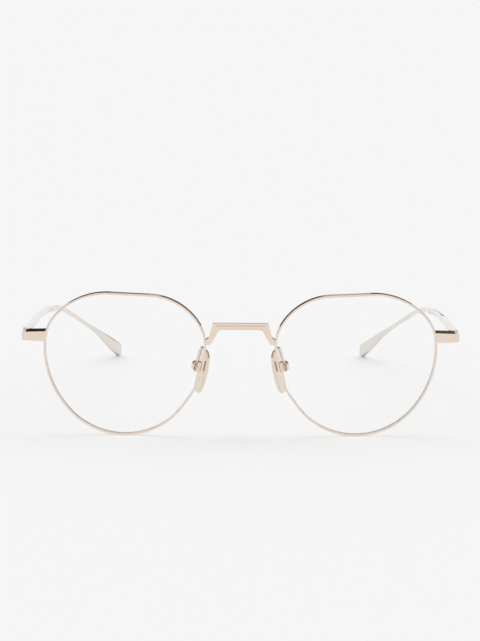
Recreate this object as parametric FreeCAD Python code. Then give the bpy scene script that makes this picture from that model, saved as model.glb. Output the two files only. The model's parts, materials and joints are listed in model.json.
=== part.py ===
import FreeCAD, Part
import math
import os

from FreeCAD import Placement, Rotation, Vector

# Round eyeglasses with a flattened top, in millimetres.
# The front is modelled in its own upright frame: x towards the wearer's left, y backwards,
# z up, with the origin midway between the two lenses, at the middle of their height and depth.
# Everything is made for the wearer's left side and mirrored for the right.
# At the end the whole is leaned forward and set down on the rims and the temple tips.

# Front
lens_centre_x = 34.37
rim_half_width = 24.06
rim_half_height = 21.5
base_curve_radius = 130.0
wrap_angle = 4.0
lean_angle = 4.0

# Corners of the outline along the middle of the rim, seen from the front, anticlockwise:
# share of the half width towards the temple, share of the half height upwards, and the share
# of the shorter neighbouring side that the rounding takes.
outline_shares = [
    (0.551, 1.014, 0.609),
    (-0.726, 0.966, 0.739),
    (-1.008, 0.423, 0.246),
    (-0.974, -0.195, 0.576),
    (-0.437, -1.003, 0.510),
    (0.454, -0.997, 0.486),
    (1.007, -0.234, 0.628),
    (0.996, 0.530, 0.370),
]

# Rim wire
rim_width = 0.6
rim_depth = 2.1
rim_section_turn = 9.5
rim_outer_round = 0.2
rim_inner_round = 0.1
rim_split = 0.12

# Lens and its bevel, which sits in the groove of the rim
lens_thickness = 1.5
bevel_height = 0.3
bevel_half_width = 0.5
lens_fit_gap = 0.05
lens_blank_margin = 2.0

# Bridge. Its corners are measured from the rim's upper nasal corner: from the nose, and upwards.
bridge_depth = 1.6
bridge_height = 1.95
bar_top_end = (-2.02, 3.71)
bar_bottom_end = (-3.87, 1.76)
leg_outer = (-0.92, -0.49)
leg_notch = (-0.07, -1.24)
leg_foot = (0.58, -2.89)
leg_inner = (-1.37, -2.69)
leg_outer_round = 0.9
bridge_bend_round = 0.5
bridge_top_facet = 0.42
bridge_back_facet = 0.3
bridge_low_facet_height = 0.75
bridge_low_facet_depth = 0.22
crease_below_top = 0.67
crease_half_height = 0.16
crease_depth = 0.2
crease_end_inset = 0.95

# Endpiece. Its top stands at a share of the rim's half height.
endpiece_length = 6.47
endpiece_depth = 4.0
endpiece_proud = 0.15
endpiece_top_share = 0.4419
endpiece_inner_height = 3.05
endpiece_top_fall = 0.2
endpiece_bottom_rise = 0.35
endpiece_corner_round = 1.3
endpiece_leg_thickness = 1.3
endpiece_leg_fall = 0.8
endpiece_back_to_hinge = 2.0

# Closing block of the rim and its screw
lock_length = 3.1
lock_front_wall = 1.4
lock_gap = 0.12
lock_edge_round = 0.15
lock_screw_radius = 0.5
lock_screw_head_radius = 0.8
lock_screw_head_height = 0.45
lock_screw_bite = 1.1
thread_gap = 0.02

# Hinge
knuckle_radius = 1.05
knuckle_height = 0.65
middle_knuckle_height = 0.75
hinge_below_top = 0.72
washer_thickness = 0.1
washer_gap = 0.02
hinge_running_gap = 0.05
hinge_side_gap = 0.07
hinge_plate_gap = 0.14
hinge_screw_radius = 0.6
hinge_screw_head_radius = 0.95
hinge_screw_head_height = 0.3
hinge_leaf_length = 4.6
hinge_leaf_thickness = 0.85
hinge_leaf_drop = 0.25
slot_width = 0.22
slot_depth = 0.16
butt_gap = 0.05

# Temple, seen from above
temple_thickness_front = 1.25
temple_thickness_back = 0.95
temple_inward_slope = 0.018
temple_straight_length = 79.0
temple_bow_radius = 94.0
temple_bow_turn = 39.5

# Temple, seen from the side and standing: its reach along the floor and its heights above it
temple_reach = 135.0
temple_above_hinge = 2.0
temple_end_round = 0.6
# Share of the reach, share of the height at the hinge, share of the shorter side for the rounding
temple_top_shares = [
    (0.3936, 0.934, 0.45),
    (0.6957, 0.769, 0.45),
    (0.7885, 0.644, 0.45),
    (0.9364, 0.315, 0.45),
]
temple_bottom_shares = [
    (0.9178, 0.318, 0.45),
    (0.8513, 0.479, 0.45),
    (0.7388, 0.685, 0.45),
    (0.3936, 0.876, 0.45),
]
temple_front_height = 2.6
temple_tip_height = 4.1
temple_tip_corner_drop = 0.76

# Nose pad
pad_length = 13.2
pad_bottom_width = 6.0
pad_top_width = 5.2
pad_corner_round = 2.3
pad_thickness = 1.35
pad_crown_radius = 27.0
pad_edge_round = 0.22
pad_centre = (11.8, 4.9, -2.85)
pad_splay = 20.0
pad_tilt = 13.0

# Lug of the nose pad, its fork and its cross screw
lug_above_pad_middle = 1.1
lug_thickness = 0.9
lug_radius = 0.85
lug_hole_offset = 1.7
lug_root = 0.4
fork_side_gap = 0.08
fork_end_gap = 0.12
fork_wall = 0.4
fork_half_height = 1.15
fork_roof_thickness = 0.65
fork_roof_gap = 1.25
fork_start = 0.55
fork_start_round = 0.2
fork_outer_round = 1.0
fork_edge_round = 0.25
pad_screw_radius = 0.42
pad_screw_head_radius = 0.7
pad_screw_head_height = 0.3

# Pad arm, a round wire from the back of the rim to the roof of the fork
arm_wire_radius = 0.5
arm_side_share = 0.33
arm_root_depth = 0.35
arm_back = 2.65
arm_outward = 1.35
arm_bend_radius = 1.15
arm_end_share = 0.62

# How far cutting tools run past, and the distance below which points count as one
overrun = 3.0
touching = 0.001


# Outlines

def corner_arc(before, corner, after, reach):
    """Start, middle and end of the arc that rounds a corner, reach being its tangent length."""
    to_before = (before - corner).normalize()
    to_after = (after - corner).normalize()
    half_opening = to_before.getAngle(to_after) / 2
    radius = reach * math.tan(half_opening)
    bisector = (to_before + to_after).normalize()
    middle = corner + bisector * (radius / math.sin(half_opening) - radius)
    return corner + to_before * reach, middle, corner + to_after * reach


def chain_of(points, reaches):
    """Closed chain of straight stretches (2 points) and round ones (3 points)."""
    count = len(points)
    corners = []
    for i in range(count):
        if reaches[i] == 0:
            corners.append((points[i],))
        else:
            corners.append(corner_arc(points[i - 1], points[i], points[(i + 1) % count], reaches[i]))
    chain = []
    for i in range(count):
        if len(corners[i]) == 3:
            chain.append(corners[i])
        following = corners[(i + 1) % count][0]
        if corners[i][-1].distanceToPoint(following) > touching:
            chain.append((corners[i][-1], following))
    return chain


def reaches_from_radii(points, radii):
    """Tangent length of each corner for a wanted radius."""
    reaches = []
    for i, corner in enumerate(points):
        to_before = points[i - 1] - corner
        to_after = points[(i + 1) % len(points)] - corner
        half_opening = to_before.getAngle(to_after) / 2
        reaches.append(radii[i] / math.tan(half_opening))
    return reaches


def reaches_from_shares(points, shares):
    """Tangent length of each corner as a share of the shorter side beside it."""
    reaches = []
    for i, corner in enumerate(points):
        before = corner.distanceToPoint(points[i - 1])
        after = corner.distanceToPoint(points[(i + 1) % len(points)])
        reaches.append(shares[i] * min(before, after))
    return reaches


def face_of(chain, place):
    """Flat face bounded by a chain, each of its points put in space by place."""
    edges = []
    for stretch in chain:
        points = [place(point) for point in stretch]
        if len(points) == 3:
            edges.append(Part.Arc(*points).toShape())
        else:
            edges.append(Part.makeLine(*points))
    return Part.Face(Part.Wire(edges))


def rounded_face(points, radii, place):
    flat = [Vector(a, b, 0) for a, b in points]
    return face_of(chain_of(flat, reaches_from_radii(flat, radii)), place)


def seen_from_front(y):
    return lambda point: Vector(point.x, y, point.y)


def seen_from_above(z):
    return lambda point: Vector(point.x, point.y, z)


def seen_from_side(x):
    return lambda point: Vector(x, point.x, point.y)


def box(low, high):
    return Part.makeBox(high[0] - low[0], high[1] - low[1], high[2] - low[2], Vector(*low))


def upright_cylinder(radius, x, y, z_low, z_high):
    return Part.makeCylinder(radius, z_high - z_low, Vector(x, y, z_low), Vector(0, 0, 1))


def rounded_edges(solid, radius, wanted):
    """Round the edges of a solid that a test picks."""
    return solid.makeFillet(radius, [edge for edge in solid.Edges if wanted(edge)])


def only_solid(shape):
    """The largest solid of a result, as one clean solid."""
    solids = sorted(shape.removeSplitter().Solids, key=lambda solid: solid.Volume)
    return solids[-1]


# Lens surface

def outline_corners():
    return [Vector(a * rim_half_width, b * rim_half_height, 0) for a, b, reach in outline_shares]


def outline_chain():
    """The rim's outline in the lens plane, every stretch with its middle point."""
    corners = outline_corners()
    reaches = reaches_from_shares(corners, [share for a, b, share in outline_shares])
    chain = []
    for stretch in chain_of(corners, reaches):
        if len(stretch) == 2:
            stretch = (stretch[0], (stretch[0] + stretch[1]) / 2, stretch[1])
        chain.append(stretch)
    return chain


def on_sphere(point):
    """Point of the base curve's sphere for a point of the lens plane.

    The projection keeps circles as circles and keeps them tangent to each other."""
    flatness = 1 / (1 + point.Length ** 2 / (4 * base_curve_radius ** 2))
    return Vector(point.x * flatness, 2 * base_curve_radius * (1 - flatness), point.y * flatness)


sphere_centre = Vector(0, base_curve_radius, 0)
lens_placement = Placement(Vector(lens_centre_x, 0, 0), Rotation(Vector(0, 0, 1), wrap_angle))


def in_front(point):
    """Point of the front's frame for a point of the lens plane, on the base curve."""
    return lens_placement.multVec(on_sphere(point))


def carried_along_outline(section, radii):
    """Solid that a flat section sweeps along the outline on the sphere.

    The section's points are distances outwards from the outline and backwards from the
    sphere, turned so that the rim's faces stand square to the lens. Each stretch is a turn
    about an axis through the sphere's centre."""
    lean_out = math.radians(rim_section_turn)
    flat = [Vector(a, b, 0) for a, b in section]
    section_chain = chain_of(flat, reaches_from_radii(flat, radii))
    pieces = []
    for stretch in outline_chain():
        start, middle, end = [on_sphere(point) - sphere_centre for point in stretch]
        axis = (middle - start).cross(end - middle).normalize()
        level = axis * axis.dot(start)
        turn = math.degrees((start - level).getAngle(end - level))
        to_centre = (start * -1).normalize()
        sideways = to_centre.cross(axis.cross(start)).normalize()
        backward = to_centre * math.cos(lean_out) + sideways * math.sin(lean_out)
        outward = sideways * math.cos(lean_out) - to_centre * math.sin(lean_out)
        origin = start + sphere_centre
        face = face_of(section_chain, lambda p: origin + outward * p.x + backward * p.y)
        pieces.append(face.revolve(sphere_centre, axis, turn))
    solid = only_solid(pieces[0].multiFuse(pieces[1:]))
    solid.Placement = lens_placement
    return solid


# Rim and lens

rim_inner_edge = -rim_width / 2
rim_outer_edge = rim_width / 2


def rim_envelope():
    """The rim without its groove, which neighbours are cut with to meet it face to face."""
    half = rim_depth / 2
    section = [
        (rim_outer_edge, -half),
        (rim_outer_edge, half),
        (rim_inner_edge, half),
        (rim_inner_edge, -half),
    ]
    radii = [rim_outer_round, rim_outer_round, rim_inner_round, rim_inner_round]
    return carried_along_outline(section, radii)


def rim_opening(half_depth):
    """Everything close inside the rim, which keeps neighbours off the lens."""
    section = [
        (rim_inner_edge, -half_depth),
        (rim_inner_edge, half_depth),
        (rim_inner_edge - overrun, half_depth),
        (rim_inner_edge - overrun, -half_depth),
    ]
    return carried_along_outline(section, [0, 0, 0, 0])


def rim_groove():
    """The bevel's wedge, carried on inwards past the rim with the same slopes."""
    section = [
        (rim_inner_edge - bevel_height, -bevel_half_width * 2),
        (rim_inner_edge + bevel_height, 0),
        (rim_inner_edge - bevel_height, bevel_half_width * 2),
    ]
    return carried_along_outline(section, [0, 0, 0])


def rim(envelope, groove):
    split = box(
        (lens_centre_x, -endpiece_depth, split_height - rim_split / 2),
        (overall_half_width, hinge_y, split_height + rim_split / 2),
    )
    return only_solid(envelope.cut(groove).cut(split))


def lens():
    edge = rim_inner_edge - lens_fit_gap
    reach = lens_thickness / 2 + overrun
    far = edge + lens_blank_margin
    section = [
        (far, -reach),
        (far, reach),
        (edge, reach),
        (edge, bevel_half_width),
        (edge + bevel_height, 0),
        (edge, -bevel_half_width),
        (edge, -reach),
    ]
    trim = carried_along_outline(section, [0] * len(section))
    front = Part.makeSphere(base_curve_radius + lens_thickness / 2, sphere_centre)
    back = Part.makeSphere(base_curve_radius - lens_thickness / 2, sphere_centre)
    disc = Part.makeCylinder(rim_half_width + overrun, base_curve_radius, Vector(0, -overrun, 0),
                             Vector(0, 1, 0))
    blank = front.cut(back).common(disc)
    blank.Placement = lens_placement
    pole = lens_placement.multVec(Vector(0, 0, 0))
    for solid in blank.cut(trim).Solids:
        if solid.isInside(pole, touching, True):
            return solid
    raise ValueError("the lens blank has no middle")


# Bridge

def bridge(left_envelope, right_envelope):
    def from_nasal_corner(place):
        return (nasal_place.x + place[0], nasal_place.z + place[1])

    half = [from_nasal_corner(place) for place in (bar_top_end, leg_outer, leg_notch)]
    foot = from_nasal_corner(leg_foot)
    half += [(foot[0], half[-1][1]), foot, from_nasal_corner(leg_inner)]
    half += [(nasal_place.x + bar_bottom_end[0], bar_bottom)]
    outline = half + [(-x, z) for x, z in reversed(half)]
    half_radii = [0, leg_outer_round, 0, 0, 0, 0, bridge_bend_round]
    radii = half_radii + half_radii[::-1]
    low_y = nasal_place.y - bridge_depth / 2
    solid = rounded_face(outline, radii, seen_from_front(low_y)).extrude(Vector(0, bridge_depth, 0))

    def top_edge(edge):
        return edge.BoundBox.ZMin > bar_top - bridge_back_facet

    def front_edge(edge):
        return top_edge(edge) and edge.BoundBox.YMax < nasal_place.y

    solid = solid.makeChamfer(bridge_top_facet, [edge for edge in solid.Edges if front_edge(edge)])

    def back_edge(edge):
        return top_edge(edge) and edge.BoundBox.YMin > low_y + bridge_depth - touching

    solid = solid.makeChamfer(bridge_back_facet, [edge for edge in solid.Edges if back_edge(edge)])
    solid = solid.cut(low_facet_cutter(low_y)).cut(crease_cutter(low_y))
    return only_solid(solid.cut(left_envelope).cut(right_envelope))


def low_facet_cutter(low_y):
    """Wedge that slopes the lower half of the bar's front face backwards."""
    points = [
        (low_y - overrun, bar_bottom),
        (low_y + bridge_low_facet_depth, bar_bottom),
        (low_y, bar_bottom + bridge_low_facet_height),
        (low_y - overrun, bar_bottom + bridge_low_facet_height),
    ]
    reach = nasal_place.x + bar_bottom_end[0]
    wedge = rounded_face(points, [0] * len(points), seen_from_side(-reach))
    return wedge.extrude(Vector(2 * reach, 0, 0))


def crease_cutter(low_y):
    """Wedge that leaves a fine crease along the bar's front face."""
    level = bar_top - crease_below_top
    points = [
        (low_y - crease_depth, level - 2 * crease_half_height),
        (low_y + crease_depth, level),
        (low_y - crease_depth, level + 2 * crease_half_height),
    ]
    reach = nasal_place.x + bar_top_end[0] - crease_end_inset
    wedge = rounded_face(points, [0] * len(points), seen_from_side(-reach))
    return wedge.extrude(Vector(2 * reach, 0, 0))


# Places that several pieces share

temple_side_point = outline_corners()[-1]
overall_half_width = lens_centre_x + rim_half_width + endpiece_length
endpiece_top = endpiece_top_share * rim_half_height
endpiece_middle = endpiece_top - endpiece_inner_height / 2
split_height = endpiece_middle
rim_at_endpiece = in_front(Vector(temple_side_point.x, endpiece_middle, 0))
endpiece_front = rim_at_endpiece.y - rim_depth / 2 - endpiece_proud
endpiece_back = endpiece_front + endpiece_depth
endpiece_inner_x = rim_at_endpiece.x - rim_width
hinge_y = endpiece_back + endpiece_back_to_hinge
leg_inner_face = overall_half_width - endpiece_leg_thickness
hinge_x = leg_inner_face - knuckle_radius - hinge_side_gap
between_knuckles = washer_thickness + 2 * washer_gap
hinge_high = endpiece_top - hinge_below_top - hinge_screw_head_height
middle_knuckle_high = hinge_high - knuckle_height - between_knuckles
middle_knuckle_low = middle_knuckle_high - middle_knuckle_height
hinge_low = middle_knuckle_low - between_knuckles - knuckle_height
hinge_middle = (middle_knuckle_low + middle_knuckle_high) / 2
lock_x = rim_at_endpiece.x + rim_width / 2 + lock_length / 2
lock_y = (endpiece_front + lock_front_wall + endpiece_back) / 2
nasal_side = outline_corners()[2:4]
nasal_place = in_front(nasal_side[0])
bar_bottom = nasal_place.z + bar_bottom_end[1]
bar_top = bar_bottom + bridge_height


# Endpiece, closing block and closing screw

def endpiece(envelope, opening):
    plan = [
        (endpiece_inner_x, endpiece_front),
        (overall_half_width, endpiece_front),
        (overall_half_width, hinge_y),
        (leg_inner_face, hinge_y),
        (leg_inner_face, endpiece_back),
        (endpiece_inner_x, endpiece_back),
    ]
    radii = [0, endpiece_corner_round, 0, 0, 0, 0]
    low_z = endpiece_top - endpiece_inner_height - overrun
    bar = rounded_face(plan, radii, seen_from_above(low_z))
    bar = bar.extrude(Vector(0, 0, endpiece_inner_height + 2 * overrun))
    bottom = endpiece_top - endpiece_inner_height
    profile = [
        (endpiece_inner_x, endpiece_top),
        (overall_half_width, endpiece_top - endpiece_top_fall),
        (overall_half_width, bottom + endpiece_bottom_rise),
        (endpiece_inner_x, bottom),
    ]
    depth = hinge_y - endpiece_front + 2 * overrun
    side = rounded_face(profile, [0] * len(profile), seen_from_front(endpiece_front - overrun))
    solid = bar.common(side.extrude(Vector(0, depth, 0)))
    solid = solid.cut(leg_top_cutter())
    notch = box(
        (endpiece_inner_x - overrun, endpiece_front + lock_front_wall, bottom - overrun),
        (lock_x + lock_length / 2 + lock_gap, endpiece_back + overrun, split_height + rim_split / 2),
    )
    hole = upright_cylinder(
        lock_screw_radius + thread_gap, lock_x, lock_y,
        split_height - rim_split, split_height + rim_split / 2 + lock_screw_bite)
    return only_solid(solid.cut(envelope).cut(opening).cut(notch).cut(hole))


def leg_top_cutter():
    """Wedge that slopes the top of the endpiece's leg down from the front to the hinge."""
    leg_top = endpiece_top - endpiece_top_fall
    points = [
        (endpiece_front, leg_top),
        (hinge_y, leg_top - endpiece_leg_fall),
        (hinge_y, endpiece_top + overrun),
        (endpiece_front, endpiece_top + overrun),
    ]
    wedge = rounded_face(points, [0] * len(points), seen_from_side(leg_inner_face))
    return wedge.extrude(Vector(overall_half_width, 0, 0))


def rim_lock(envelope):
    bottom = endpiece_top - endpiece_inner_height + endpiece_bottom_rise
    low = (rim_at_endpiece.x - rim_width / 2, endpiece_front + lock_front_wall + lock_gap, bottom)
    high = (lock_x + lock_length / 2, endpiece_back, split_height - rim_split / 2)
    solid = box(low, high)

    def back_edge(edge):
        return edge.BoundBox.YMin > endpiece_back - lock_gap and edge.BoundBox.ZLength < lock_gap

    solid = rounded_edges(solid, lock_edge_round, back_edge)
    through = upright_cylinder(
        lock_screw_radius + hinge_running_gap, lock_x, lock_y, bottom - overrun, split_height)
    seat = upright_cylinder(
        lock_screw_head_radius + hinge_running_gap, lock_x, lock_y,
        bottom - overrun, bottom + lock_screw_head_height)
    return only_solid(solid.cut(envelope).cut(through).cut(seat))


def slotted(head, x, y, face_height, towards, radius):
    """Cut a screwdriver slot in an upright screw's head."""
    low = min(face_height, face_height - towards * slot_depth)
    high = max(face_height, face_height - towards * slot_depth)
    slot = box(
        (x - radius - overrun, y - slot_width / 2, low - (overrun if towards < 0 else 0)),
        (x + radius + overrun, y + slot_width / 2, high + (overrun if towards > 0 else 0)),
    )
    return only_solid(head.cut(slot))


def rim_lock_screw():
    bottom = endpiece_top - endpiece_inner_height + endpiece_bottom_rise
    tip = split_height + rim_split / 2 + lock_screw_bite - lock_gap
    shank = upright_cylinder(lock_screw_radius, lock_x, lock_y, bottom, tip)
    head = upright_cylinder(lock_screw_head_radius, lock_x, lock_y, bottom,
                            bottom + lock_screw_head_height)
    return slotted(head.fuse(shank), lock_x, lock_y, bottom, -1, lock_screw_head_radius)


# Hinge

def front_hinge(end):
    """Leaf on the endpiece's back and inner face, with the upper and the lower knuckle."""
    block = box((hinge_x - knuckle_radius, endpiece_back, hinge_low), (leg_inner_face, hinge_y, hinge_high))
    barrel = upright_cylinder(knuckle_radius, hinge_x, hinge_y, hinge_low, hinge_high)
    clearance = knuckle_radius + hinge_side_gap
    gap = box(
        (hinge_x - clearance - overrun, hinge_y - clearance, middle_knuckle_low - between_knuckles),
        (overall_half_width, hinge_y + clearance, middle_knuckle_high + between_knuckles),
    )
    bore = upright_cylinder(
        hinge_screw_radius + thread_gap, hinge_x, hinge_y, hinge_low - overrun, hinge_high + overrun)
    return only_solid(block.fuse(barrel).cut(gap).cut(bore).cut(end))


def temple_hinge(blade):
    """Leaf on the inner face of the temple, with the middle knuckle."""
    barrel = upright_cylinder(knuckle_radius, hinge_x, hinge_y, middle_knuckle_low, middle_knuckle_high)
    neck = box(
        (hinge_x, hinge_y, middle_knuckle_low),
        (leg_inner_face + temple_thickness_front / 2, hinge_y + hinge_leaf_length, middle_knuckle_high),
    )
    clear = knuckle_radius + hinge_plate_gap
    plate = box(
        (leg_inner_face - hinge_leaf_thickness, hinge_y + clear, middle_knuckle_low - hinge_leaf_drop),
        (leg_inner_face + temple_thickness_front / 2, hinge_y + hinge_leaf_length, middle_knuckle_high),
    )
    trim = box(
        (hinge_x - knuckle_radius, hinge_y + clear, hinge_low),
        (leg_inner_face - hinge_leaf_thickness, hinge_y + hinge_leaf_length, hinge_high),
    )
    bore = upright_cylinder(
        hinge_screw_radius + hinge_running_gap, hinge_x, hinge_y, hinge_low, hinge_high)
    stop = box(
        (leg_inner_face - hinge_side_gap, hinge_y - overrun, hinge_low),
        (overall_half_width, hinge_y + butt_gap, hinge_high),
    )
    return only_solid(neck.cut(trim).fuse(barrel).fuse(plate).cut(bore).cut(stop).cut(blade))


def hinge_screw():
    shank = upright_cylinder(hinge_screw_radius, hinge_x, hinge_y, hinge_low, hinge_high)
    top = hinge_high + hinge_screw_head_height
    head = upright_cylinder(hinge_screw_head_radius, hinge_x, hinge_y, hinge_high, top)
    return slotted(head.fuse(shank), hinge_x, hinge_y, top, 1, hinge_screw_head_radius)


def hinge_washers():
    rings = []
    for low in (middle_knuckle_low - washer_gap - washer_thickness, middle_knuckle_high + washer_gap):
        disc = upright_cylinder(knuckle_radius, hinge_x, hinge_y, low, low + washer_thickness)
        hole = upright_cylinder(
            hinge_screw_radius + thread_gap, hinge_x, hinge_y, low - overrun, low + overrun)
        rings.append(disc.cut(hole))
    return Part.makeCompound(rings)


# Temple

def temple_plan(standing_hinge_y):
    """The standing blade from above, as a tall prism: a straight run, then an even inward bow."""
    slope = math.atan(temple_inward_slope)
    along = Vector(-math.sin(slope), math.cos(slope), 0)
    inward = Vector(-math.cos(slope), -math.sin(slope), 0)
    hinge_corner = Vector(overall_half_width, standing_hinge_y, 0)
    start = hinge_corner - along * overrun
    bend = hinge_corner + along * temple_straight_length
    centre = bend + inward * temple_bow_radius

    def bow(radius, share):
        turn = slope + math.radians(temple_bow_turn) * share
        return centre + Vector(math.cos(turn), math.sin(turn), 0) * radius

    outer = temple_bow_radius
    inner = temple_bow_radius - temple_thickness_back
    front_inner = start + inward * temple_thickness_front
    chain = [
        (start, bend),
        (bow(outer, 0), bow(outer, 0.5), bow(outer, 1)),
        (bow(outer, 1), bow(inner, 1)),
        (bow(inner, 1), bow(inner, 0.5), bow(inner, 0)),
        (bow(inner, 0), front_inner),
        (front_inner, start),
    ]
    deep = temple_reach
    return face_of(chain, seen_from_above(-deep)).extrude(Vector(0, 0, 2 * deep))


def temple_side(standing_hinge_y, temple_top_height):
    """The standing blade from the side, as a wide prism."""
    def standing(y_share, z_share):
        return (standing_hinge_y + y_share * temple_reach, z_share * temple_top_height)

    front = standing_hinge_y - overrun
    tip = standing_hinge_y + temple_reach
    low = temple_top_height - temple_front_height
    points = [(front, temple_top_height)]
    points += [standing(a, b) for a, b, share in temple_top_shares]
    points += [(tip, temple_tip_height), (tip, -temple_tip_corner_drop)]
    points += [standing(a, b) for a, b, share in temple_bottom_shares]
    points += [(front, low)]
    flat = [Vector(y, z, 0) for y, z in points]
    shares = [0] + [share for a, b, share in temple_top_shares] + [0, 0]
    shares += [share for a, b, share in temple_bottom_shares] + [0]
    reaches = reaches_from_shares(flat, shares)
    end_reaches = reaches_from_radii(flat, [temple_end_round] * len(flat))
    for i in (len(temple_top_shares) + 1, len(temple_top_shares) + 2):
        reaches[i] = end_reaches[i]
    face = face_of(chain_of(flat, reaches), seen_from_side(0))
    return face.extrude(Vector(overall_half_width + overrun, 0, 0))


def standing_placement(lift):
    """From the front's upright frame to the leaning one, raised to stand on the floor."""
    return Placement(Vector(0, 0, lift), Rotation(Vector(1, 0, 0), lean_angle))


def temple(lift):
    """The blade, made standing on the floor and brought back to the front's upright frame."""
    standing = standing_placement(lift)
    hinge = standing.multVec(Vector(hinge_x, hinge_y, hinge_middle))
    side = temple_side(hinge.y, hinge.z + temple_above_hinge)
    blade = temple_plan(hinge.y).common(side)
    blade = blade.transformed(standing.inverse().Matrix)
    front_cut = box(
        (0, -overrun, -temple_reach),
        (overall_half_width + overrun, hinge_y + butt_gap, temple_reach),
    )
    return only_solid(blade.cut(front_cut))


# Nose pad, fork and arm, in the pad's own frame: x outwards from the nose, y backwards, z up

pad_rotation = Rotation(Vector(0, 1, 0), -pad_tilt).multiply(Rotation(Vector(0, 0, 1), -pad_splay))
pad_placement = Placement(Vector(*pad_centre), pad_rotation)


def cross_cylinder(radius, x, z, y_low, y_high):
    return Part.makeCylinder(radius, y_high - y_low, Vector(x, y_low, z), Vector(0, 1, 0))


def nose_pad():
    bottom = pad_bottom_width / 2
    top = pad_top_width / 2
    half = pad_length / 2
    points = [(bottom, -half), (top, half), (-top, half), (-bottom, -half)]
    face = rounded_face(points, [pad_corner_round] * 4, seen_from_side(-pad_thickness))
    plate = face.extrude(Vector(pad_thickness, 0, 0))
    crown = Part.makeSphere(pad_crown_radius, Vector(pad_crown_radius - pad_thickness, 0, 0))
    plate = plate.common(crown)

    def outer_rim(edge):
        return edge.BoundBox.XMin > -touching

    plate = rounded_edges(plate, pad_edge_round, outer_rim)
    lug_low = (-lug_root, -lug_thickness / 2, lug_above_pad_middle - lug_radius)
    lug_high = (lug_hole_offset, lug_thickness / 2, lug_above_pad_middle + lug_radius)
    lug = box(lug_low, lug_high)
    eye = cross_cylinder(lug_radius, lug_hole_offset, lug_above_pad_middle,
                         -lug_thickness / 2, lug_thickness / 2)
    hole = cross_cylinder(pad_screw_radius + hinge_running_gap, lug_hole_offset, lug_above_pad_middle,
                          -overrun, overrun)
    solid = only_solid(plate.fuse(lug).fuse(eye).cut(hole))
    solid.Placement = pad_placement
    return solid


fork_half_width = lug_thickness / 2 + fork_side_gap + fork_wall
fork_base_inner = lug_hole_offset + lug_radius + fork_end_gap
fork_base_outer = fork_base_inner + fork_wall


def pad_box():
    """Fork with a roof, open towards the pad and downwards."""
    roof_low = lug_above_pad_middle + fork_roof_gap
    roof_top = roof_low + fork_roof_thickness
    points = [
        (fork_start, lug_above_pad_middle - fork_half_height),
        (fork_base_outer, lug_above_pad_middle - fork_half_height),
        (fork_base_outer, roof_top),
        (fork_start, roof_top),
    ]
    radii = [fork_start_round, fork_outer_round, fork_outer_round, fork_start_round]
    block = rounded_face(points, radii, seen_from_front(-fork_half_width))
    block = block.extrude(Vector(0, 2 * fork_half_width, 0))

    def outer_edge(edge):
        bounds = edge.BoundBox
        return bounds.XMax > fork_start + fork_start_round + touching and bounds.YLength < touching

    block = rounded_edges(block, fork_edge_round, outer_edge)
    inside = fork_half_width - fork_wall
    gap = box(
        (fork_start - overrun, -inside, lug_above_pad_middle - overrun),
        (fork_base_inner, inside, roof_low),
    )
    hole = cross_cylinder(pad_screw_radius + thread_gap, lug_hole_offset, lug_above_pad_middle,
                          -overrun, overrun)
    solid = only_solid(block.cut(gap).cut(hole))
    solid.Placement = pad_placement
    return solid


def pad_screw():
    shank = cross_cylinder(pad_screw_radius, lug_hole_offset, lug_above_pad_middle,
                           -fork_half_width, fork_half_width)
    face = fork_half_width + pad_screw_head_height
    head = cross_cylinder(pad_screw_head_radius, lug_hole_offset, lug_above_pad_middle,
                          fork_half_width, face)
    slot = box(
        (lug_hole_offset - pad_screw_head_radius - overrun, face - slot_depth,
         lug_above_pad_middle - slot_width / 2),
        (lug_hole_offset + pad_screw_head_radius + overrun, face + overrun,
         lug_above_pad_middle + slot_width / 2),
    )
    solid = only_solid(head.fuse(shank).cut(slot))
    solid.Placement = pad_placement
    return solid


def arm_route():
    """Points of the wire's middle line: the rim's back, the shoulder behind it, the fork's roof."""
    upper, lower = nasal_side
    backward = lens_placement.Rotation.multVec(Vector(0, 1, 0))
    rim_middle = in_front(upper + (lower - upper) * arm_side_share)
    root = rim_middle + backward * (rim_depth / 2 - arm_root_depth)
    shoulder = rim_middle + backward * (rim_depth / 2 + arm_back) + Vector(arm_outward, 0, 0)
    roof_middle = lug_above_pad_middle + fork_roof_gap + fork_roof_thickness / 2
    end = pad_placement.multVec(Vector(fork_base_outer * arm_end_share, 0, roof_middle))
    return [root, shoulder, end]


def wire_solid(route, radius, bend):
    """Round wire along straight runs joined by tangent arcs."""
    pieces = []
    start = route[0]
    for i in range(1, len(route) - 1):
        to_before = route[i - 1] - route[i]
        to_after = route[i + 1] - route[i]
        half_opening = to_before.getAngle(to_after) / 2
        reach = bend / math.tan(half_opening)
        arc = corner_arc(route[i - 1], route[i], route[i + 1], reach)
        pieces.append(Part.makeCylinder(radius, start.distanceToPoint(arc[0]), start, arc[0] - start))
        pieces.append(bent_wire(arc, radius))
        start = arc[2]
    pieces.append(Part.makeCylinder(radius, start.distanceToPoint(route[-1]), start, route[-1] - start))
    return only_solid(pieces[0].multiFuse(pieces[1:]))


def bent_wire(arc, radius):
    centre = Part.Arc(*arc).toShape().Curve.Center
    axis = (arc[1] - arc[0]).cross(arc[2] - arc[1]).normalize()
    tangent = axis.cross(arc[0] - centre)
    disc = Part.Face(Part.Wire(Part.makeCircle(radius, arc[0], tangent)))
    turn = math.degrees((arc[0] - centre).getAngle(arc[2] - centre))
    return disc.revolve(centre, axis, turn)


def pad_arm(envelope, opening, fork):
    wire = wire_solid(arm_route(), arm_wire_radius, arm_bend_radius)
    return only_solid(wire.cut(envelope).cut(opening).cut(fork))


# Assembly

def mirrored(shape):
    return shape.mirror(Vector(0, 0, 0), Vector(1, 0, 0))


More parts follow.
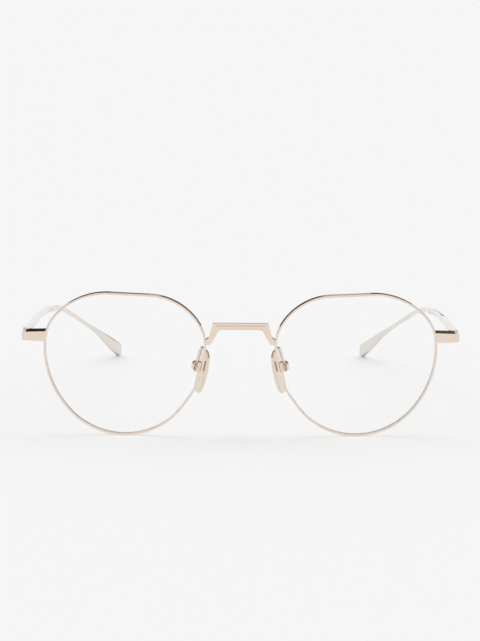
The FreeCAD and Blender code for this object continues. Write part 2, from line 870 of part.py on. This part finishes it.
def left_side():
    """All pieces of the wearer's left side in the front's frame, and how far to lift them."""
    envelope = rim_envelope()
    leaning = envelope.copy()
    leaning.Placement = standing_placement(0).multiply(leaning.Placement)
    lift = -leaning.optimalBoundingBox(False, False).ZMin
    blade = temple(lift)
    end = endpiece(envelope, rim_opening(endpiece_depth))
    fork = pad_box()
    pieces = {
        "rim": rim(envelope, rim_groove()),
        "lens": lens(),
        "endpiece": end,
        "rim_lock": rim_lock(envelope),
        "rim_lock_screw": rim_lock_screw(),
        "front_hinge": front_hinge(end),
        "temple_hinge": temple_hinge(blade),
        "hinge_screw": hinge_screw(),
        "hinge_washers": hinge_washers(),
        "temple": blade,
        "pad_arm": pad_arm(envelope, rim_opening(rim_depth / 2), fork),
        "pad_box": fork,
        "pad_screw": pad_screw(),
        "nose_pad": nose_pad(),
    }
    return pieces, envelope, lift


def write_parts():
    pieces, envelope, lift = left_side()
    nodes = {"bridge": bridge(envelope, mirrored(envelope))}
    for name, shape in pieces.items():
        nodes["left_" + name] = shape
        nodes["right_" + name] = mirrored(shape)
    stand = standing_placement(lift).Matrix
    nodes = {name: shape.transformed(stand) for name, shape in nodes.items()}
    bounds = Part.makeCompound(list(nodes.values())).optimalBoundingBox(False, False)
    middle = Vector(-(bounds.XMin + bounds.XMax) / 2, -(bounds.YMin + bounds.YMax) / 2, -bounds.ZMin)
    os.makedirs("parts", exist_ok=True)
    for name, shape in nodes.items():
        shape.translate(middle)
        shape.exportStep("parts/" + name + ".step")
    return nodes, Placement(middle, Rotation()).multiply(standing_placement(lift))


def report_places(nodes, stand):
    """Print the sizes and the joints' places in the finished part's frame."""
    bounds = Part.makeCompound(list(nodes.values())).optimalBoundingBox(False, False)
    print("size", round(bounds.XLength, 3), round(bounds.YLength, 3), round(bounds.ZLength, 3))
    hinge = stand.multVec(Vector(hinge_x, hinge_y, hinge_middle))
    print("left hinge", hinge, "axis", stand.Rotation.multVec(Vector(0, 0, 1)))
    screw = pad_placement.multVec(Vector(lug_hole_offset, 0, lug_above_pad_middle))
    cross = pad_rotation.multVec(Vector(0, 1, 0))
    print("left pad screw", stand.multVec(screw), "axis", stand.Rotation.multVec(cross))
    for name, shape in nodes.items():
        print(name, "solids", len(shape.Solids), "volume", round(shape.Volume, 3), shape.isValid())


nodes, stand = write_parts()
report_places(nodes, stand)
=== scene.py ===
import bpy, json, math
from mathutils import Matrix, Vector

# Round eyeglasses: materials and polished edges for the CAD solids, a pale studio, and the
# camera of the photograph. No piece is added, moved or replaced.

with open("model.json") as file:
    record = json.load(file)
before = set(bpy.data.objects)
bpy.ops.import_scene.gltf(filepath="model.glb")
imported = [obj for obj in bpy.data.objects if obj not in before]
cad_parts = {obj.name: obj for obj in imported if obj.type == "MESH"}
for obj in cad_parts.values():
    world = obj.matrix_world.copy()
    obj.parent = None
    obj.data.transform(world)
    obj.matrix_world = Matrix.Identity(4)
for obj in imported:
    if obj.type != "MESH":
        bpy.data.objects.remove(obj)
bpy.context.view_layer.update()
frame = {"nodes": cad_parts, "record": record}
nodes = frame["nodes"]
sides = ("left_", "right_")

# Metal colours, each with the deeper tone that it drifts to
champagne = (0.86, 0.735, 0.635)
champagne_deep = (0.84, 0.70, 0.595)
pale_gold = (0.81, 0.765, 0.715)
pale_gold_deep = (0.79, 0.74, 0.685)
pad_gold = (0.83, 0.735, 0.64)
pad_gold_deep = (0.81, 0.70, 0.60)
screw_gold = (0.84, 0.72, 0.62)
screw_gold_deep = (0.80, 0.67, 0.56)

# Detail of polished metal: noise scales per metre, and the factors on x, y and z. The smaller a
# factor is, the longer the marks run along that axis.
drift_scale = 160.0
hairline_scale = 9000.0
hairline_stretch = (1.0, 0.06, 1.0)
cross_scale = 7000.0
cross_stretch = (0.08, 1.0, 0.35)
worn_scale = 420.0
mark_height = 0.00002

# Roughness of the least and the most worn patches, and what a mark adds, as shares of the metal's own
patch_range = (0.75, 1.25)
mark_share = 0.9

# Detail of the lens and of the washers
wipe_scale = 900.0
wipe_stretch = (1.0, 1.0, 0.18)
grain_scale = 2500.0
grain_height = 0.00001
unstretched = (1.0, 1.0, 1.0)

# How wide the polished edges are, in metres, and the angle that counts as an edge
edge_widths = {
    "temple": 0.00012,
    "temple_hinge": 0.00006,
    "front_hinge": 0.00006,
    "rim_lock": 0.00006,
    "pad_box": 0.00006,
    "nose_pad": 0.00005,
}
bridge_edge_width = 0.00014
edge_segments = 2
edge_angle = math.radians(32)
weld_distance = 0.0000005

# Studio: tone of the background, strength of the diffuse surroundings, the floor's colour, the
# share of the background's tone mixed into it, its reach in metres, and the lamp
background = (0.921, 0.921, 0.921)
surroundings = 0.45
floor_colour = (0.9, 0.9, 0.9)
floor_lift = 0.1
floor_reach = 40.0
lamp_energy = 2.55
lamp_angle = math.radians(90)
lamp_tilt = math.radians(-45)

# Cards seen in reflections only. Their angles are set for what the metal reflects in the
# photograph's view. Each has a name, its distance in metres, azimuths from straight behind
# towards +X and elevations, both in degrees, and a colour.
cards = [
    ("dark_backdrop", 3.0, (-130, 130), (5.5, 62), (0.30, 0.27, 0.24)),
    ("dark_left", 2.9, (-16, -3.4), (5.2, 19.5), (0.03, 0.025, 0.02)),
    ("dark_right", 2.9, (3.4, 16), (5.6, 19.5), (0.09, 0.075, 0.06)),
    ("dark_low_middle", 2.9, (-3.4, 3.4), (5.5, 14.5), (0.10, 0.085, 0.07)),
    ("dark_far_left", 2.9, (-18, -9.6), (-0.5, 5.2), (0.012, 0.008, 0.005)),
    ("dark_far_right", 2.9, (9.6, 18), (0.5, 5.6), (0.12, 0.10, 0.085)),
    ("pale_near_left", 2.85, (-9.5, -3.6), (1.5, 9.5), (0.96, 0.96, 0.96)),
    ("pale_near_right", 2.85, (3.6, 9.5), (1.5, 9.5), (0.96, 0.96, 0.96)),
    ("flat_left", 2.8, (-3.4, -1.7), (14.5, 20), (0.26, 0.235, 0.21)),
    ("flat_right", 2.8, (1.7, 3.4), (14.5, 20), (0.52, 0.48, 0.44)),
    ("pale_middle", 2.8, (-1.7, 1.7), (14.5, 24), (0.45, 0.42, 0.39)),
]
card_steps = 48

# Camera of the photograph: its place in metres, its turn, and its focal length in picture heights
camera_place = (-0.000023, -0.75827, 0.142016)
camera_pitch = math.radians(8.8432)
camera_roll = math.radians(0.3)
camera_yaw = math.radians(0.0121)
camera_sensor = 36.0
camera_focal_share = 2360.5 / 641
camera_near = 0.01
camera_far = 100.0


# Node trees

class Tree:
    """A material's or world's node tree with short calls to add nodes and links."""

    def __init__(self, owner):
        owner.use_nodes = True
        self.tree = owner.node_tree
        self.tree.nodes.clear()

    def add(self, kind, values=None, **settings):
        node = self.tree.nodes.new(kind)
        for name, value in settings.items():
            setattr(node, name, value)
        for name, value in (values or {}).items():
            if isinstance(value, bpy.types.NodeSocket):
                self.tree.links.new(value, node.inputs[name])
            else:
                node.inputs[name].default_value = value
        return node

    def math(self, operation, a, b, clamp=False):
        return self.add("ShaderNodeMath", {0: a, 1: b}, operation=operation, use_clamp=clamp).outputs[0]

    def noise(self, scale, stretch, detail=3.0, roughness=0.5):
        """Noise in the object's own space, stretched along its axes."""
        place = self.add("ShaderNodeTexCoord").outputs["Object"]
        place = self.add("ShaderNodeMapping", {"Vector": place, "Scale": stretch}).outputs[0]
        values = {"Vector": place, "Scale": scale, "Detail": detail, "Roughness": roughness}
        return self.add("ShaderNodeTexNoise", values).outputs["Fac"]

    def spread(self, value, source, target=(0.0, 1.0)):
        """The value, carried over from one range to another and kept inside it."""
        return self.add("ShaderNodeMapRange", {
            "Value": value,
            "From Min": source[0],
            "From Max": source[1],
            "To Min": target[0],
            "To Max": target[1],
        }).outputs[0]

    def mixed_colour(self, share, a, b):
        """Colour between a and b. The mix node's colour sockets are inputs 6 and 7 and output 2."""
        node = self.add("ShaderNodeMix", {0: share}, data_type="RGBA")
        node.inputs[6].default_value = (*a, 1.0)
        node.inputs[7].default_value = (*b, 1.0)
        return node.outputs[2]

    def bump(self, height, strength, distance):
        values = {"Height": height, "Strength": strength, "Distance": distance}
        return self.add("ShaderNodeBump", values).outputs[0]

    def surface(self, shader, kind="ShaderNodeOutputMaterial"):
        self.add(kind, {"Surface": shader.outputs[0]})

    def glow(self, colour):
        return self.add("ShaderNodeEmission", {"Color": (*colour, 1.0), "Strength": 1.0})

    def seen_rays(self):
        """1 for what the camera sees directly, in a mirror or through glass, else 0."""
        path = self.add("ShaderNodeLightPath")
        shown = self.math("MAXIMUM", path.outputs["Is Camera Ray"], path.outputs["Is Glossy Ray"])
        return self.math("MAXIMUM", shown, path.outputs["Is Transmission Ray"])


def new_material(name):
    material = bpy.data.materials.new(name)
    return material, Tree(material)


# Materials of the object

def polished_metal(name, colour, deep, roughness, scratch):
    """Polished plated metal: faint colour drift, hairline scratches, softer worn patches."""
    material, t = new_material(name)
    drift = t.noise(drift_scale, unstretched)
    base = t.mixed_colour(t.spread(drift, (0.35, 0.65)), colour, deep)
    hairlines = t.noise(hairline_scale, hairline_stretch, detail=4.0, roughness=0.65)
    cross = t.noise(cross_scale, cross_stretch, detail=3.0, roughness=0.6)
    worn = t.noise(worn_scale, unstretched, detail=4.0, roughness=0.6)
    scratches = t.math("MULTIPLY", t.spread(hairlines, (0.56, 0.75)),
                       t.spread(worn, (0.4, 0.6), (0.15, 1.0)), clamp=True)
    marks = t.math("MAXIMUM", scratches, t.spread(cross, (0.62, 0.8), (0.0, 0.7)))
    patches = t.spread(worn, (0.3, 0.7), [roughness * share for share in patch_range])
    rough = t.math("ADD", patches, t.math("MULTIPLY", marks, roughness * mark_share))
    t.surface(t.add("ShaderNodeBsdfPrincipled", {
        "Base Color": base,
        "Roughness": rough,
        "Normal": t.bump(marks, scratch, mark_height),
        "Metallic": 1.0,
    }))
    return material


def lens_glass():
    """Clear lens with an anti-reflection film and hardly visible wiping marks."""
    material, t = new_material("lens")
    wipes = t.noise(wipe_scale, wipe_stretch, detail=4.0, roughness=0.6)
    t.surface(t.add("ShaderNodeBsdfPrincipled", {
        "Base Color": (0.994, 0.998, 0.996, 1.0),
        "Roughness": t.spread(wipes, (0.5, 0.9), (0.0, 0.02)),
        "IOR": 1.5,
        "Transmission Weight": 1.0,
        "Specular IOR Level": 0.3,
        "Thin Film Thickness": 105.0,
        "Thin Film IOR": 1.38,
    }))
    return material


def washer_plastic():
    """Pale plastic with a fine grain."""
    material, t = new_material("washers")
    grain = t.noise(grain_scale, unstretched)
    t.surface(t.add("ShaderNodeBsdfPrincipled", {
        "Base Color": t.mixed_colour(grain, (0.80, 0.78, 0.72), (0.88, 0.87, 0.83)),
        "Roughness": 0.3,
        "Normal": t.bump(grain, 0.1, grain_height),
    }))
    return material


materials = {
    "frame_metal": polished_metal("frame_metal", champagne, champagne_deep, roughness=0.055, scratch=0.12),
    "temples": polished_metal("temples", pale_gold, pale_gold_deep, roughness=0.06, scratch=0.12),
    "pads": polished_metal("pads", pad_gold, pad_gold_deep, roughness=0.07, scratch=0.15),
    "screws": polished_metal("screws", screw_gold, screw_gold_deep, roughness=0.10, scratch=0.2),
    "lens": lens_glass(),
    "washers": washer_plastic(),
}

# Each piece takes the material of its slot, but the temples' blades take the paler one
slots = {part["node"]: part["material_slot"] for part in frame["record"]["subparts"]}
for name, node in nodes.items():
    for holder in node.material_slots:
        holder.material = materials["temples" if name.endswith("_temple") else slots[name]]


# Polished edges

def softened(node, width):
    """Break the sharp edges of a piece, as polishing does."""
    weld = node.modifiers.new("weld", "WELD")
    weld.merge_threshold = weld_distance
    bevel = node.modifiers.new("soft_edges", "BEVEL")
    bevel.width = width
    bevel.segments = edge_segments
    bevel.limit_method = "ANGLE"
    bevel.angle_limit = edge_angle
    bevel.harden_normals = True


for side in sides:
    for piece, width in edge_widths.items():
        softened(nodes[side + piece], width)
softened(nodes["bridge"], bridge_edge_width)

# The clear lenses let the light through to the floor. The rims' shadow is switched off as well,
# only because the photograph shows none under them. With it on, a dark line follows them there.
for side in sides:
    nodes[side + "lens"].visible_shadow = False
    nodes[side + "lens"].visible_diffuse = False
    nodes[side + "rim"].visible_shadow = False


# Studio: pale endless floor, even white surroundings, a large soft light from above and behind

def stage_sheet(name, corners, faces, material):
    """A surface of the studio, which isn't part of the object."""
    mesh = bpy.data.meshes.new(name)
    mesh.from_pydata(corners, [], faces)
    mesh.materials.append(material)
    item = bpy.data.objects.new(name, mesh)
    bpy.context.scene.collection.objects.link(item)
    return item


def pale_floor():
    """Matt white floor that keeps the object's shadow, lifted a little to the background's tone."""
    material, t = new_material("floor")
    white = t.add("ShaderNodeBsdfDiffuse", {"Color": (*floor_colour, 1.0)})
    lift = t.math("MULTIPLY", t.seen_rays(), floor_lift)
    values = {0: lift, 1: white.outputs[0], 2: t.glow(background).outputs[0]}
    t.surface(t.add("ShaderNodeMixShader", values))
    return material


def studio_world():
    """White surroundings that show as the background's tone and light at their own strength."""
    world = bpy.data.worlds.new("studio")
    bpy.context.scene.world = world
    t = Tree(world)
    light = t.add("ShaderNodeBackground", {"Color": (1.0, 1.0, 1.0, 1.0), "Strength": surroundings})
    seen = t.add("ShaderNodeBackground", {"Color": (*background, 1.0), "Strength": 1.0})
    values = {0: t.seen_rays(), 1: light.outputs[0], 2: seen.outputs[0]}
    t.surface(t.add("ShaderNodeMixShader", values), "ShaderNodeOutputWorld")


def overhead_lamp():
    """Large soft lamp, not seen in reflections or through glass."""
    sun = bpy.data.lights.new("overhead", "SUN")
    sun.energy = lamp_energy
    sun.angle = lamp_angle
    lamp = bpy.data.objects.new("overhead", sun)
    lamp.rotation_euler = (lamp_tilt, 0, 0)
    lamp.visible_glossy = False
    lamp.visible_transmission = False
    bpy.context.scene.collection.objects.link(lamp)


def card(name, radius, azimuths, elevations, colour):
    """Part of a cylinder far round the object, seen only in reflections."""
    material, t = new_material(name)
    t.surface(t.glow(colour))
    corners = []
    for i in range(card_steps + 1):
        azimuth = math.radians(azimuths[0] + (azimuths[1] - azimuths[0]) * i / card_steps)
        for elevation in elevations:
            height = math.tan(math.radians(elevation)) * radius
            corners.append((math.sin(azimuth) * radius, math.cos(azimuth) * radius, height))
    faces = [(2 * i, 2 * i + 2, 2 * i + 3, 2 * i + 1) for i in range(card_steps)]
    item = stage_sheet(name, corners, faces, material)
    item.visible_camera = False
    item.visible_diffuse = False
    item.visible_shadow = False
    item.visible_transmission = False
    item.visible_volume_scatter = False


floor_corners = [(x * floor_reach, y * floor_reach, 0) for x, y in ((-1, -1), (1, -1), (1, 1), (-1, 1))]
stage_sheet("floor", floor_corners, [(0, 1, 2, 3)], pale_floor())
studio_world()
overhead_lamp()
for row in cards:
    card(*row)


# Camera

def photo_camera():
    """The camera that fits the photograph."""
    level_share = math.cos(camera_pitch)
    ahead = Vector((-math.sin(camera_yaw) * level_share, math.cos(camera_yaw) * level_share,
                    -math.sin(camera_pitch)))
    level = ahead.cross(Vector((0, 0, 1))).normalized()
    upright = level.cross(ahead)
    right = level * math.cos(camera_roll) + upright * math.sin(camera_roll)
    upward = upright * math.cos(camera_roll) - level * math.sin(camera_roll)
    place = Matrix((right, upward, -ahead)).transposed().to_4x4()
    place.translation = Vector(camera_place)
    camera = bpy.data.cameras.new("photo_camera")
    camera.sensor_width = camera_sensor
    camera.lens = camera_focal_share * camera_sensor
    camera.clip_start = camera_near
    camera.clip_end = camera_far
    item = bpy.data.objects.new("photo_camera", camera)
    item.matrix_world = place
    bpy.context.scene.collection.objects.link(item)
    bpy.context.scene.camera = item


photo_camera()
bpy.context.scene.view_settings.view_transform = "Standard"
